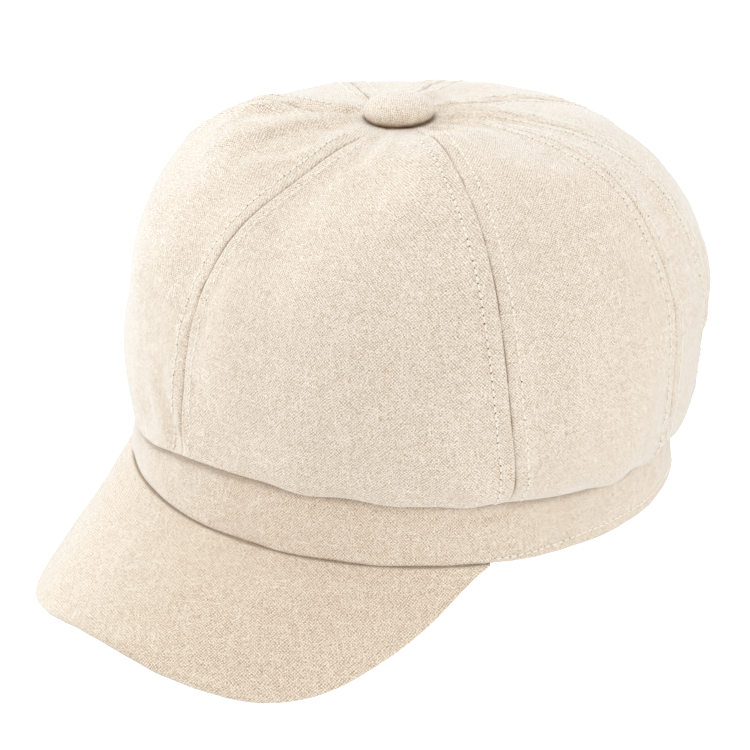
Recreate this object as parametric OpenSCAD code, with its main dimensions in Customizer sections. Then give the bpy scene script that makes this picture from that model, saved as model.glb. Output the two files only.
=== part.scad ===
// Baker-boy cap: eight puffed crown panels sewn edge to edge above a head band, a
// cloth-covered stiff visor under the front of the band, and a covered button on top.
// Every length is in millimetres, every angle in degrees.
// Frame: +Z up, visor towards -Y, origin at the centre of the head opening, in the
// plane of the band's lower edge. Angles round the cap start at the front (-Y) and
// turn towards +X.

/* [Head band] */
// half width of the band's outside at its lower edge
band_half_width = 92.4; // [88:0.1:97]
// half length of the band's outside at its lower edge, front to back
band_half_length = 94.9; // [90:0.1:100]
// height of the band
band_height = 23.5; // [20:0.5:28]
// how far the band leans in from its lower to its upper edge
band_lean = 2.5; // [0:0.5:4]
// thickness of the cloth with its seam allowance
cloth = 1; // [0.8:0.1:1.3]
// thickness of the stiffening inside the band
interlining = 0.6; // [0.4:0.1:0.8]
// thickness of the sweatband
sweatband = 0.9; // [0.6:0.1:1.2]
// height of the sweatband
sweatband_height = 22; // [16:0.5:24]

/* [Crown] */
// half width of the crown where it is widest
crown_half_width = 97.9; // [94:0.1:104]
// half length of the crown where it is widest
crown_half_length = 98.9; // [95:0.1:106]
// how far the crown's widest part sits behind the band's centre
crown_set_back = 4; // [0:0.1:8]
// how far the worn crown has slid to the +X side where it is widest
crown_slide = 2.8; // [-4:0.1:4]
// height of the crown's widest part above the band's lower edge
crown_widest = 45.4; // [42:0.1:58]
// height that the crown's curve reaches above the band's lower edge
crown_height = 122.6; // [114:0.1:130]
// fullness of the crown above its widest part, 2 is an ellipse
crown_fullness = 2.77; // [2.6:0.01:3.2]
// extra fullness towards the front, less towards the back
front_fullness = -0.5; // [-0.5:0.02:0.3]
// extra fullness at the front and back, less at the sides
length_fullness = -0.42; // [-0.42:0.02:0.3]
// extra fullness towards +X, less towards -X
side_fullness = -0.6; // [-0.7:0.02:0.4]
// fullness of the overhang between the band and the widest part
overhang_fullness = 2.5; // [2:0.1:4]
// how much the crown rises towards +X, as a slope
crown_tilt = 0.07; // [0:0.01:0.1]
// how far the crown's plan bulges at the front and beside the back, as a share
front_bulge = -0.028; // [-0.03:0.002:0.03]
// how far each panel puffs out between its seams, as a share of its width
panel_puff = 0.02; // [0.01:0.005:0.05]

/* [Worn folds] */
// depth of the hollow beside the button on the -X side
hollow_left = 2.2; // [0:0.1:3]
// height of the shoulder below that hollow
shoulder_left = 1.6; // [0:0.1:3]
// height of the slump above the band, at the front of the -X side
slump_left = 2.4; // [0:0.1:3]
// depth of the hollow high on the +X side, towards the back
hollow_right = 1.2; // [0:0.1:3]
// height of the bulge below that hollow
bulge_right = 2; // [0:0.1:3]
// height of the bulge high at the back
bulge_back = 1; // [0:0.1:3]
// depth of the hollow behind the button
hollow_back = 0.9; // [0:0.1:3]

/* [Seams] */
// seam 1, centre front: angle at the band, halfway up and at the button
seam_1 = [-4, -9, 15]; // [-15:1:20]
// seam 2: angle at the band, halfway up and at the button
seam_2 = [68, 61, 66]; // [55:1:75]
// seam 3: angle at the band, halfway up and at the button
seam_3 = [106, 105, 138]; // [98:1:140]
// seam 4: angle at the band, halfway up and at the button
seam_4 = [138, 123, 156]; // [122:1:158]
// seam 5, centre back: angle at the band, halfway up and at the button
seam_5 = [180, 170, 186]; // [168:1:190]
// seam 6: angle at the band, halfway up and at the button
seam_6 = [220, 214, 224]; // [208:1:230]
// seam 7: angle at the band, halfway up and at the button
seam_7 = [252, 248, 266]; // [242:1:272]
// seam 8: angle at the band, halfway up and at the button
seam_8 = [294, 290, 312]; // [285:1:318]
// half width of the tape that covers a seam inside
tape_half = 5; // [3:0.5:6]
// thickness of the seam tape
tape = 0.4; // [0.3:0.1:0.6]

/* [Button] */
// diameter of the covered button
button_d = 23.8; // [20:0.2:28]
// height of the covered button
button_h = 7.6; // [4:0.2:8]
// where the button sits, across and along the cap, from the band's centre
button_at = [-4.6, -4.6]; // [-8:0.1:4]
// height of the crown's outside under the button
button_seat = 120.4; // [114:0.1:122]
// thickness of the button's sheet metal
button_metal = 0.5; // [0.4:0.1:0.8]
// diameter of the shank and of the hole in the washer
shank_d = 3; // [2:0.2:4]
// radius of the flat place that the button sits on
seat_flat = 13.5; // [12.5:0.5:15]
// radius at which the crown has risen to its full height round the button
seat_rim = 38; // [28:1:50]

/* [Visor] */
// angle by which the visor's middle is turned from the front towards +X
visor_turn = 3; // [-6:0.1:6]
// angle from the visor's middle to each of its ends
visor_half_angle = 62.5; // [58:0.1:70]
// length of the visor on either side of its middle
visor_length = 60.6; // [50:0.1:64]
// how much the front edge is flattened in the middle
visor_flat = 9; // [0:0.1:10]
// how far towards the ends that flat part reaches, as a share
visor_flat_share = 0.69; // [0.4:0.01:0.9]
// how late the edge turns in to the corners, higher is later
visor_corner = 5.7; // [3:0.1:7]
// how fast the edge runs in past the corners, higher is faster
visor_run_in = 1.4; // [1:0.05:2]
// length of the visor at its two ends
visor_end = 2.4; // [2.4:0.1:6]
// slope of the visor below level in the middle
visor_slope = 27.3; // [12:0.1:34]
// slope of the visor below level at its ends
visor_end_slope = 55.7; // [50:0.1:90]
// how rounded the middle of the bent visor is, as a share of its half width
visor_round = 0.21; // [0.1:0.01:0.6]
// how far the visor's rays spread sideways, as a share of the band's own direction
visor_spread = 0.06; // [0.05:0.01:0.8]
// thickness of each cloth cover of the visor
visor_cloth = 0.9; // [0.7:0.1:1.1]
// thickness of the visor's board
visor_board = 1.8; // [1.4:0.1:2.2]
// how far the covers reach in under the band, where they are sewn
visor_seam = 2.5; // [2:0.1:3]

/* [Hidden] */
SEAMS = [seam_1, seam_2, seam_3, seam_4, seam_5, seam_6, seam_7, seam_8];
PANELS = len(SEAMS);

$fn = 72;
linen = [0.87, 0.81, 0.73];
linen_dark = [0.8, 0.74, 0.65];
cotton = [0.9, 0.88, 0.83];
board_white = [0.93, 0.92, 0.88];
steel = [0.7, 0.71, 0.72];

low_share = 0.2;        // share of a seam's steps below the widest part
mid_share = 0.45;       // share at which the halfway angle of a seam is reached
puff_start = 0.12;      // share at which a panel reaches its full puff
seam_free = 0.05;       // share at which the crown is free of the band's seam
puff_rise = 0.6;        // how a panel's puff grows from the band up
puff_round = 1.3;       // how it grows from the seams inwards
wide_edge = 0.3;        // largest share of a panel's width that a tape takes
probe = 0.002;          // small step of the share, used to find a surface's normal
turn_probe = 0.2;       // small angle used for the same
// rows of points up a panel: shares below the widest part, angles of the curve above it
low_rows = [0, 0.2, 0.42, 0.68];
high_rows = [0, 10, 21, 32, 42, 51, 59, 66, 72, 77, 82, 87];
panel_rows = concat(
    [for (r = low_rows) r * low_share],
    [for (r = high_rows) low_share + (1 - low_share) * r / 90]);
// steps across each panel
panel_steps = [10, 8, 6, 8, 8, 6, 8, 10];
// worn folds: angle, share of the way up, height, half width in degrees and as a share
FOLDS = [
    [277, 0.66, -hollow_left, 13, 0.06],
    [296, 0.58, shoulder_left, 9, 0.06],
    [321, 0.19, slump_left, 16, 0.07],
    [152, 0.53, -hollow_right, 12, 0.05],
    [137, 0.36, bulge_right, 16, 0.1],
    [168, 0.64, bulge_back, 14, 0.05],
    [238, 0.71, -hollow_back, 14, 0.06]];
top_x = band_half_width - band_lean;
top_y = band_half_length - band_lean;

function clamp01(v) = min(max(v, 0), 1);

// smooth step from 0 to 1
function ease(v) = let (u = clamp01(v)) u * u * (3 - 2 * u);

function unit(v) = v / norm(v);

// smooth hump of height 1 at 0
function bell(v, half) = exp(-pow(v / half, 2));

// point of a full quarter curve, from [1, 0] at 0 degrees to [0, 1] at 90
function quarter(angle, n) =
    let (c = max(cos(angle), 0), s = max(sin(angle), 0),
         k = pow(pow(c, n) + pow(s, n), -1 / n))
    [k * c, k * s];

// outside of the band at angle t and height z, moved in by inset
function band_at(t, z, inset = 0) =
    let (lean = band_lean * min(z, band_height) / band_height + inset)
    [(band_half_width - lean) * sin(t), -(band_half_length - lean) * cos(t), z];

// ---- crown surface: t is the angle round the cap, q runs from band (0) to button (1)
function overhang_at(t, f) =
    let (a = quarter(90 * (1 - f), overhang_fullness),
         plan = 1 + front_bulge * a[0] * cos(3 * t),
         rx = top_x + (crown_half_width - top_x) * a[0],
         ry = top_y + (crown_half_length - top_y) * a[0])
    [crown_slide * a[0] + rx * plan * sin(t),
     crown_set_back * a[0] - ry * plan * cos(t),
     crown_widest - (crown_widest - band_height) * a[1]];

function dome_at(t, f) =
    let (n = max(crown_fullness + front_fullness * cos(t)
             + length_fullness * cos(2 * t) + side_fullness * sin(t), 1.6),
         a = quarter(90 * f, n),
         plan = (1 + front_bulge * cos(3 * t)) * a[0],
         x = crown_slide * a[0] + button_at.x * (1 - a[0])
             + crown_half_width * plan * sin(t),
         y = crown_set_back * a[0] + button_at.y * (1 - a[0])
             - crown_half_length * plan * cos(t),
         z = crown_widest + (crown_height - crown_widest) * a[1]
             + crown_tilt * x * clamp01(2 * f),
         rise = seat_rise(x, y))
    [x, y, z * rise + button_seat * (1 - rise)];

function crown_at(t, q) = q < low_share
    ? overhang_at(t, q / low_share)
    : dome_at(t, (q - low_share) / (1 - low_share));

// 0 on the flat place under the button, 1 outside the shallow dip round it
function seat_rise(x, y) =
    ease((norm([x, y] - button_at) - seat_flat) / (seat_rim - seat_flat));

// outward normal, straight down where the crown is sewn to the band
function crown_normal(t, q) = q == 0 ? [0, 0, -1] : unit(cross(
    crown_at(t + turn_probe, q) - crown_at(t - turn_probe, q),
    crown_at(t, q + probe) - crown_at(t, q - probe)));

// ---- seams: number j counts from the front seam (0) right round to it again (8)
function seam_course(a, q) = q < mid_share
    ? a[1] + (a[0] - a[1]) * pow(1 - q / mid_share, 2)
    : a[1] + (a[2] - a[1]) * pow((q - mid_share) / (1 - mid_share), 2);

function seam_angle(j, q) = seam_course(SEAMS[j % PANELS], q) + (j == PANELS ? 360 : 0);

function turn_between(a, b) = let (d = abs(a - b) % 360) min(d, 360 - d);

// height of the worn folds at a place on the crown
function fold_lift(t, q) =
    [for (f = FOLDS) f[2] * bell(turn_between(t, f[0]), f[3]) * bell(q - f[1], f[4])]
    * [for (f = FOLDS) 1];

// one row of panel i: pairs of outside point and normal. The first and last column
// are the seams, the next ones in are the edges of the seam tapes.
function panel_row(i, q) =
    let (a = seam_angle(i, q), b = seam_angle(i + 1, q),
         width = norm(crown_at(b, q) - crown_at(a, q)),
         edge = min(tape_half / width, wide_edge),
         steps = panel_steps[i],
         puff = panel_puff * width * pow(clamp01(q / puff_start), puff_rise),
         free = ease(q / seam_free))
    [for (k = [0 : steps])
        let (v = k == 0 ? 0 : k == steps ? 1
                : edge + (1 - 2 * edge) * (k - 1) / (steps - 2),
             t = a + (b - a) * v,
             p = crown_at(t, q),
             n = crown_normal(t, q),
             lift = puff * pow(4 * v * (1 - v), puff_round)
                 * (q < 0.5 ? 1 : seat_rise(p.x, p.y)) + free * fold_lift(t, q))
        [p + lift * n, n]];

function moved(row, depth) = [for (c = row) c[0] - depth * c[1]];

// angles at which the panels' columns meet the band
band_angles = [for (i = [0 : PANELS - 1])
    let (a = seam_angle(i, 0), b = seam_angle(i + 1, 0),
         edge = min(tape_half / norm(crown_at(b, 0) - crown_at(a, 0)), wide_edge),
         steps = panel_steps[i])
    for (k = [0 : steps - 1])
        a + (b - a) * (k == 0 ? 0 : edge + (1 - 2 * edge) * (k - 1) / (steps - 2))];

// ---- visor surface: t is the angle from the visor's middle, w the distance out from
// the band's lower edge
function visor_reach(t) =
    let (u = t / visor_half_angle,
         full = visor_end + (visor_length - visor_end)
             * pow(max(1 - pow(abs(u), visor_corner), 0), visor_run_in))
    full - visor_flat * (bell(u, visor_flat_share) - bell(1, visor_flat_share));

// slope below level: even from a rounded middle out to the ends
function visor_fall(t) =
    let (u = t / visor_half_angle, k = visor_round)
    visor_slope + (visor_end_slope - visor_slope)
        * (sqrt(u * u + k * k) - k) / (sqrt(1 + k * k) - k);

// the band's lower edge, where the visor is sewn
function visor_root(t, inset = 0) = band_at(t + visor_turn, 0, inset);

function visor_at(t, w) =
    let (a = t + visor_turn,
         ray = unit([visor_spread * band_half_length * sin(a), -band_half_width * cos(a)]),
         fall = visor_fall(t))
    visor_root(t) + w * [ray.x * cos(fall), ray.y * cos(fall), -sin(fall)];

function visor_normal(t, w) = unit(cross(
    visor_at(t, w + visor_probe) - visor_at(t, w),
    visor_at(t + visor_probe, w) - visor_at(t - visor_probe, w)));

// a point of the visor at a depth below its upper face
function visor_layer(t, w, depth) = visor_at(t, w) - depth * visor_normal(t, w);

visor_thick = 2 * visor_cloth + visor_board;
visor_probe = 0.1;      // small step used to find the visor's normal
visor_stations = 32;    // sections across the visor
visor_rows = 3;         // steps out along a section
visor_near = 3;         // distance out of a section's first point
visor_near_share = 0.35;
fork_near = 1.5;        // distance out at which the two covers part
visor_angles = [for (i = [0 : visor_stations])
    visor_half_angle * (2 * i / visor_stations - 1)];

// distances out at which a visor section has points
function visor_steps(t) =
    let (last = visor_reach(t) - visor_thick / 2,
         first = min(visor_near, visor_near_share * last))
    [for (k = [0 : visor_rows]) first + (last - first) * k / visor_rows];

// chain of points along the visor at one depth
function visor_chain(t, depth) = [for (w = visor_steps(t)) visor_layer(t, w, depth)];

// round end of a section: radius r about the middle of the thickness, turning
// from angle a0 above the visor's plane to a1
function visor_rim(t, r, a0, a1, steps) =
    let (last = visor_reach(t) - visor_thick / 2,
         n = visor_normal(t, last),
         out = unit(visor_at(t, last) - visor_at(t, last - 1)),
         middle = visor_at(t, last) - n * visor_thick / 2)
    [for (k = [1 : steps])
        let (a = a0 + (a1 - a0) * k / steps)
        middle + r * (out * cos(a) + n * sin(a))];

function flipped(list) = [for (i = [len(list) - 1 : -1 : 0]) list[i]];

// where the two covers part from each other in front of the board
function visor_fork(t) = visor_layer(t, min(fork_near, visor_steps(t)[0] * 0.6), visor_cloth);

function top_cover_loop(t) = concat(
    [visor_root(t, visor_seam), visor_root(t)],
    visor_chain(t, 0),
    visor_rim(t, visor_thick / 2, 90, 0, 2),
    flipped(visor_rim(t, visor_board / 2, 60, 0, 2)),
    flipped(visor_chain(t, visor_cloth)),
    [visor_fork(t), visor_root(t, visor_seam) - [0, 0, visor_cloth]]);

function board_loop(t) = concat(
    visor_chain(t, visor_cloth),
    visor_rim(t, visor_board / 2, 90, 30, 1),
    flipped(visor_rim(t, visor_board / 2, -90, -30, 1)),
    flipped(visor_chain(t, visor_cloth + visor_board)));

function under_cover_loop(t) = concat(
    [visor_root(t, visor_seam) - [0, 0, visor_cloth], visor_fork(t),
     visor_layer(t, visor_steps(t)[0], visor_cloth)],
    visor_chain(t, visor_cloth + visor_board),
    visor_rim(t, visor_board / 2, -60, 0, 2),
    flipped(visor_rim(t, visor_thick / 2, -90, 0, 2)),
    flipped(visor_chain(t, visor_thick)),
    [visor_layer(t, visor_steps(t)[0] * 0.9, visor_thick),
     visor_layer(t, visor_steps(t)[0] * 0.8, visor_thick),
     visor_root(t, visor_seam) - [0, 0, 2 * visor_cloth]]);

// ---- solids from rows of points
function quad(a, b, c, d) = [[a, b, c], [a, c, d]];

// closed solid between two grids of points that have the same rows and columns
module quilt(outer, inner) {
    rows = len(outer);
    cols = len(outer[0]);
    size = rows * cols;
    polyhedron(
        points = concat([for (r = outer) each r], [for (r = inner) each r]),
        faces = concat(
            [for (i = [0 : rows - 2], j = [0 : cols - 2])
                let (a = i * cols + j, b = a + cols)
                each quad(a, b, b + 1, a + 1)],
            [for (i = [0 : rows - 2], j = [0 : cols - 2])
                let (a = size + i * cols + j, b = a + cols)
                each quad(a + 1, b + 1, b, a)],
            [for (i = [0 : rows - 2])
                let (a = i * cols, b = a + cols)
                each concat(quad(a, a + size, b + size, b),
                    quad(b + cols - 1, b + cols - 1 + size,
                        a + cols - 1 + size, a + cols - 1))],
            [for (j = [0 : cols - 2])
                let (top = (rows - 1) * cols + j)
                each concat(quad(j + 1, j + 1 + size, j + size, j),
                    quad(top, top + size, top + 1 + size, top + 1))]));
}

// solid through a list of sections, each a loop of the same number of points. A ring
// joins its last section to its first, otherwise the ends are closed across the loop.
module loft(sections, ring = false) {
    n = len(sections);
    m = len(sections[0]);
    polyhedron(
        points = [for (s = sections) each s],
        faces = concat(
            [for (i = [0 : n - (ring ? 1 : 2)], j = [0 : m - 1])
                let (a = i * m, b = ((i + 1) % n) * m, k = (j + 1) % m)
                each quad(a + j, a + k, b + k, b + j)],
            ring ? [] : [for (k = [0 : m / 2 - 2])
                let (z = (n - 1) * m)
                each concat(quad(m - 1 - k, m - 2 - k, k + 1, k),
                    quad(z + k, z + k + 1, z + m - 2 - k, z + m - 1 - k))]));
}

// ---- crown
module crown_panel(i) {
    rows = [for (q = panel_rows) panel_row(i, q)];
    color(linen) quilt([for (r = rows) moved(r, 0)], [for (r = rows) moved(r, cloth)]);
}

// tape over seam j, inside: the last columns of the panel before it, the seam itself
// and the first columns of the panel after it
module seam_tape(j) {
    before = (j + PANELS - 1) % PANELS;
    rows = [for (k = [1 : len(panel_rows) - 2])
        let (l = panel_row(before, panel_rows[k]), r = panel_row(j, panel_rows[k]))
        [l[len(l) - 2], r[0], r[1]]];
    color(cotton) quilt([for (r = rows) moved(r, cloth)],
        [for (r = rows) moved(r, cloth + tape)]);
}

// ---- head band
interlining_gap = 1;    // how far the interlining stops short of the band's two edges

module band_ring(profile) {
    loft([for (t = band_angles) [for (p = profile) band_at(t, p[1], p[0])]], ring = true);
}

module headband_shell() {
    top = band_height + cloth;
    color(linen) band_ring([[0, 0], [cloth, 0], [cloth, top], [0, top], [0, band_height]]);
}

module band_interlining() {
    near = cloth;
    far = cloth + interlining;
    low = interlining_gap;
    high = band_height - interlining_gap;
    color(cotton) band_ring([[near, low], [far, low], [far, high], [near, high]]);
}

module sweatband() {
    near = cloth + interlining;
    far = near + sweatband;
    color(cotton) band_ring([[near, 0], [far, 0], [far, sweatband_height],
        [near, sweatband_height]]);
}

// ---- visor
module visor_top_cover() {
    color(linen_dark) loft([for (t = visor_angles) top_cover_loop(t)]);
}

module visor_board() {
    color(board_white) loft([for (t = visor_angles) board_loop(t)]);
}

module visor_under_cover() {
    color(linen_dark) loft([for (t = visor_angles) under_cover_loop(t)]);
}

// ---- covered button, its axis through the crown's hole
button_r = button_d / 2;
button_cloth = 0.8;     // thickness of the button's cover
button_round = 2.3;     // how full the button's dome is, 2 is an ellipse
lip_z = 1.6;            // height at which the button is widest
lip_in = 2.6;           // how far the cloth is turned in underneath
lip_low = [1.3, 0];     // lowest corner of the turned-in edge: in from the rim, height
lip_side = [0.35, 0.55];
shell_foot = 1.9;       // how far the shell's open edge stands in from the rim
back_gap = 0.4;         // play between the back plate and the turned-in cloth
back_r = button_r - lip_in - back_gap;
plate = 0.8;            // thickness of the back plate and of the washer
clinch = 0.6;           // thickness of the clinched end of the shank
clinch_z = -cloth - plate;
shank_into_back = 0.1;
washer_r = 9;

function button_arc(inset) = [for (a = [0 : 10 : 90])
    let (p = quarter(a, button_round))
    [(button_r - inset) * p[0], lip_z + (button_h - lip_z - inset) * p[1]]];

module at_button() translate([button_at.x, button_at.y, button_seat]) children();

module button_cover() {
    lip = button_r - lip_in;
    color(linen) at_button() rotate_extrude() polygon(concat(
        [[lip, 0], [button_r - lip_low.x, lip_low.y], [button_r - lip_side.x, lip_side.y]],
        button_arc(0),
        flipped(button_arc(button_cloth)),
        [[button_r - shell_foot + button_metal, button_cloth], [lip, button_cloth]]));
}

module button_shell() {
    foot = button_r - shell_foot;
    color(steel) at_button() rotate_extrude() polygon(concat(
        [[foot, button_cloth], [foot + button_metal, button_cloth]],
        button_arc(button_cloth),
        flipped(button_arc(button_cloth + button_metal)),
        [[foot, lip_z]]));
}

module button_back() {
    low = clinch_z - clinch;
    color(steel) at_button() {
        cylinder(r = back_r, h = plate);
        translate([0, 0, low]) cylinder(d = shank_d, h = shank_into_back - low);
        translate([0, 0, low]) cylinder(d = shank_d + 2, h = clinch);
    }
}

module button_washer() {
    color(steel) at_button() translate([0, 0, clinch_z]) difference() {
        cylinder(r = washer_r, h = plate);
        translate([0, 0, -plate]) cylinder(d = shank_d, h = 3 * plate);
    }
}

for (i = [0 : PANELS - 1])
    crown_panel(i);
for (i = [0 : PANELS - 1])
    seam_tape(i);
headband_shell();
band_interlining();
sweatband();
visor_top_cover();
visor_board();
visor_under_cover();
button_cover();
button_shell();
button_back();
button_washer();
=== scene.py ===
import math
from functools import reduce

import bpy
import numpy as np
from mathutils import Matrix, Vector
from mathutils.bvhtree import BVHTree


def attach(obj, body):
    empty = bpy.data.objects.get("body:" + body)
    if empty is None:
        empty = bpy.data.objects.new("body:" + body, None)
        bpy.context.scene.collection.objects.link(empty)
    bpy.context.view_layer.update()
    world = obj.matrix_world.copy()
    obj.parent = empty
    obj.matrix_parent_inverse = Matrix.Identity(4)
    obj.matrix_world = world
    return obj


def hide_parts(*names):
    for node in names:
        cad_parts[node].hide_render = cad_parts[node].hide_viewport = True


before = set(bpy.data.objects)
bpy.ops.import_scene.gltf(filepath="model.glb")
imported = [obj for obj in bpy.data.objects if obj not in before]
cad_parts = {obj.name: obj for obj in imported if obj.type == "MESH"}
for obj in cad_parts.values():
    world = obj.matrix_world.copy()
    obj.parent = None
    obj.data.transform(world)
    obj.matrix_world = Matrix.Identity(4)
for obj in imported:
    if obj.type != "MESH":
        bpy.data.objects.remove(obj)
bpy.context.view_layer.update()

MM = 0.001

# -------- image points
# The only pixel coordinates: places of the cap in the photograph's 750 x 750 frame.
W = H = 750
EDGES = {"left": 34.0, "right": 709.5, "top": 79.5, "bottom": 703.0}
POINTS = {
    "button": (397.5, 109.0),
    "seam_1": (217.5, 260.4),
    "seam_2": (493.0, 280.0),
    "seam_3": (672.2, 302.0),
    "seam_4": (697.0, 260.0),
    "visor_corner": (43.0, 612.0),
    "visor_end": (492.0, 563.6),
    "band_top": (388.0, 501.5),
    "band_bottom": (346.0, 563.0),
    "hem_stitches": (562.0, 544.3),
    "crown_tuck": (470.0, 490.0),
    "band_pucker": (486.0, 516.0),
    "band_dent": (480.0, 548.0),
}

# -------- camera
CAM_TARGET = Vector((0, 0, 60)) * MM  # middle of the cap
CAM_AZIMUTH = 46.14  # degrees from the front (-Y) towards +X
CAM_ELEVATION = 21.28
CAM_DISTANCE = 999.0 * MM
CAM_AIM_RIGHT = -10.6 * MM  # where the camera looks, beside the target
CAM_AIM_UP = -30.7 * MM
CAM_ROLL = 2.42
CAM_SENSOR = 36.0
CAM_LENS = 140.3


def toward(azimuth, elevation):
    """Direction from the cap, in degrees from the front towards +X and upward."""
    az, el = math.radians(azimuth), math.radians(elevation)
    return Vector((math.sin(az) * math.cos(el), -math.cos(az) * math.cos(el), math.sin(el)))


def new_thing(name, data):
    """Object of this data, in the scene."""
    thing = bpy.data.objects.new(name, data)
    bpy.context.collection.objects.link(thing)
    return thing


def make_camera():
    """The photograph's camera, in place and active."""
    back, side = toward(CAM_AZIMUTH, CAM_ELEVATION), toward(CAM_AZIMUTH + 90, 0)
    place = CAM_TARGET + back * CAM_DISTANCE
    aim = CAM_TARGET + side * CAM_AIM_RIGHT + back.cross(side) * CAM_AIM_UP
    back = (place - aim).normalized()
    side = Vector((0, 0, 1)).cross(back).normalized()
    up = back.cross(side)
    roll = math.radians(CAM_ROLL)
    axes = Matrix((side * math.cos(roll) + up * math.sin(roll),
                   up * math.cos(roll) - side * math.sin(roll), back)).transposed()
    data = bpy.data.cameras.new("camera")
    data.sensor_fit = "AUTO"
    data.sensor_width = CAM_SENSOR
    data.lens = CAM_LENS
    data.clip_start, data.clip_end = 0.05, 30
    camera = new_thing("camera", data)
    camera.matrix_world = Matrix.Translation(place) @ axes.to_4x4()
    bpy.context.scene.camera = camera
    return camera


camera = make_camera()
LONG = max(W, H)


def ray_of(x, y):
    """Start and direction of the ray through an image point."""
    data = camera.data
    local = Vector((x - W / 2 + data.shift_x * LONG, H / 2 - y + data.shift_y * LONG,
                    -LONG * data.lens / data.sensor_width))
    m = camera.matrix_world
    return m.translation.copy(), (m.to_3x3() @ local).normalized()


def seen_at(points):
    """Image x and y of places in the frame, one row each."""
    data = camera.data
    inverse = np.array(camera.matrix_world.inverted())
    local = np.asarray(points, float) @ inverse[:3, :3].T + inverse[:3, 3]
    scale = LONG * data.lens / data.sensor_width / -local[:, 2]
    return np.stack([W / 2 - data.shift_x * LONG + local[:, 0] * scale,
                     H / 2 + data.shift_y * LONG - local[:, 1] * scale], 1)


def place_on(tree, x, y):
    """Where the ray through an image point meets a tree or comes nearest to it."""
    start, way = ray_of(x, y)
    place = tree.ray_cast(start, way)[0]
    if place is None:
        place = tree.find_nearest(start + way * (CAM_TARGET - start).dot(way))[0]
    return place


# -------- sizes, millimetres
# Half widths of the ring across and along, its height, and how far it leans in; layers
BAND_X, BAND_Y, BAND_H, BAND_LEAN = 92.4, 94.9, 23.5, 2.5
CLOTH, INTERLINING, SWEAT, SWEAT_H = 1.0, 0.6, 0.9, 22.0
# Widest ring of the crown, its shift, its height, the dome's top, and powers of its curves
CROWN_X, CROWN_Y, CROWN_BACK, CROWN_SIDE = 97.9, 98.9, 4.0, 2.8
CROWN_WIDE_Z, CROWN_TOP_Z, CROWN_TILT = 45.4, 122.6, 0.07
FULL, FULL_FRONT, FULL_LENGTH, FULL_SIDE = 2.77, -0.5, -0.42, -0.6
FULL_LOW, FULL_LEAST = 2.5, 1.6
FRONT_BULGE, PUFF, PUFF_START = -0.028, 0.02, 0.12
LOW_SHARE, MID_SHARE = 0.2, 0.45  # courses of the widest ring and of the seams' middle
BUTTON_AT = np.array([-4.6, -4.6])
BUTTON_SEAT, BUTTON_D, BUTTON_H = 120.4, 23.8, 7.6
BUTTON_LEAN, BUTTON_TIP = 3.5, 2.0  # degrees the worn button leans left and forward in view
SEAT_FLAT, SEAT_RIM = 13.5, 38.0  # radius of its flat seat, and where the dome is free
TAPE_HALF, TAPE = 5.0, 0.4
# Visor: degrees it is turned and half spans, reach, flat front, corners, and degrees it falls
VISOR_TURN, VISOR_HALF, VISOR_L, VISOR_END = 3.0, 62.5, 60.6, 2.4
VISOR_FLAT, VISOR_FLAT_SHARE, VISOR_CORNER, VISOR_CORNER_POWER = 9.0, 0.69, 5.7, 1.4
VISOR_SLOPE, VISOR_END_SLOPE, VISOR_ROUND, VISOR_SPREAD = 27.3, 55.7, 0.21, 0.06
VISOR_CLOTH, VISOR_BOARD, VISOR_SEAM = 0.9, 1.8, 2.5
VISOR_THICK = 2 * VISOR_CLOTH + VISOR_BOARD
STITCH_PITCH, STITCH_LENGTH, STITCH_R, HOLE_R = 2.6, 1.9, 0.29, 0.27
STITCH_OFF = (4.7, 4.1)  # from a crown seam to the stitch rows before and after it
FULL_ALLOWANCE = 16.0  # width of a panel below which its seams' allowances narrow
HEM_UP, HEM_RISE = 1.7, 2.0  # hem row over the band's lower edge: at the visor, added behind
SAG_OUT = 0.2  # stand-off of the hanging cloth, as a share of its hang
FOLD_GAP = 1.1  # between the crown's lower edge and the ply behind it
FOLD_SHARE = 0.025  # course at which the crown's lower edge folds under
HEM_CLOTH = 0.12  # thickness of the crown's cloth where it turns under
STICK = 0.02  # gap between layers that lie on each other
# angle of each crown seam at the band, halfway up and at the button
SEAMS = [[-4, -9, 15], [68, 61, 66], [106, 105, 138], [138, 123, 156],
         [180, 170, 186], [220, 214, 224], [252, 248, 266], [294, 290, 312]]
PANELS = len(SEAMS)
SEAMS_IN_VIEW = 4
SEAM_TURN = 6.0  # most degrees by which an image point may turn a seam


def ease(v):
    """Smooth step from 0 to 1."""
    u = np.clip(v, 0, 1)
    return u * u * (3 - 2 * u)


def bell(v, width):
    return np.exp(-(v / width) ** 2)


def unit(v):
    return v / (np.linalg.norm(v, axis=-1, keepdims=True) + 1e-12)


def cosd(a):
    return np.cos(np.radians(a))


def sind(a):
    return np.sin(np.radians(a))


def around(t):
    """An angle or a difference of angles, brought between -180 and 180 degrees."""
    return (t + 180) % 360 - 180


def lengths(line):
    """Distance along a line of points, from its first."""
    return np.concatenate([[0], np.cumsum(np.linalg.norm(np.diff(line, axis=0), axis=-1))])


def grid_tree(grid, ring=False):
    """Tree of a grid of places in metres, for the placing function."""
    rows, cols = grid.shape[:2]
    faces = [(r * cols + c, r * cols + (c + 1) % cols,
              (r + 1) * cols + (c + 1) % cols, (r + 1) * cols + c)
             for r in range(rows - 1) for c in range(cols if ring else cols - 1)]
    return BVHTree.FromPolygons([Vector(p) for p in grid.reshape(-1, 3)], faces)


# -------- crown surface
def quarter(angle, n):
    """Point of a full quarter curve, from (1, 0) at 0 degrees to (0, 1) at 90."""
    c, s = np.maximum(cosd(angle), 0), np.maximum(sind(angle), 0)
    k = (c ** n + s ** n) ** (-1 / n)
    return k * c, k * s


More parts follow.
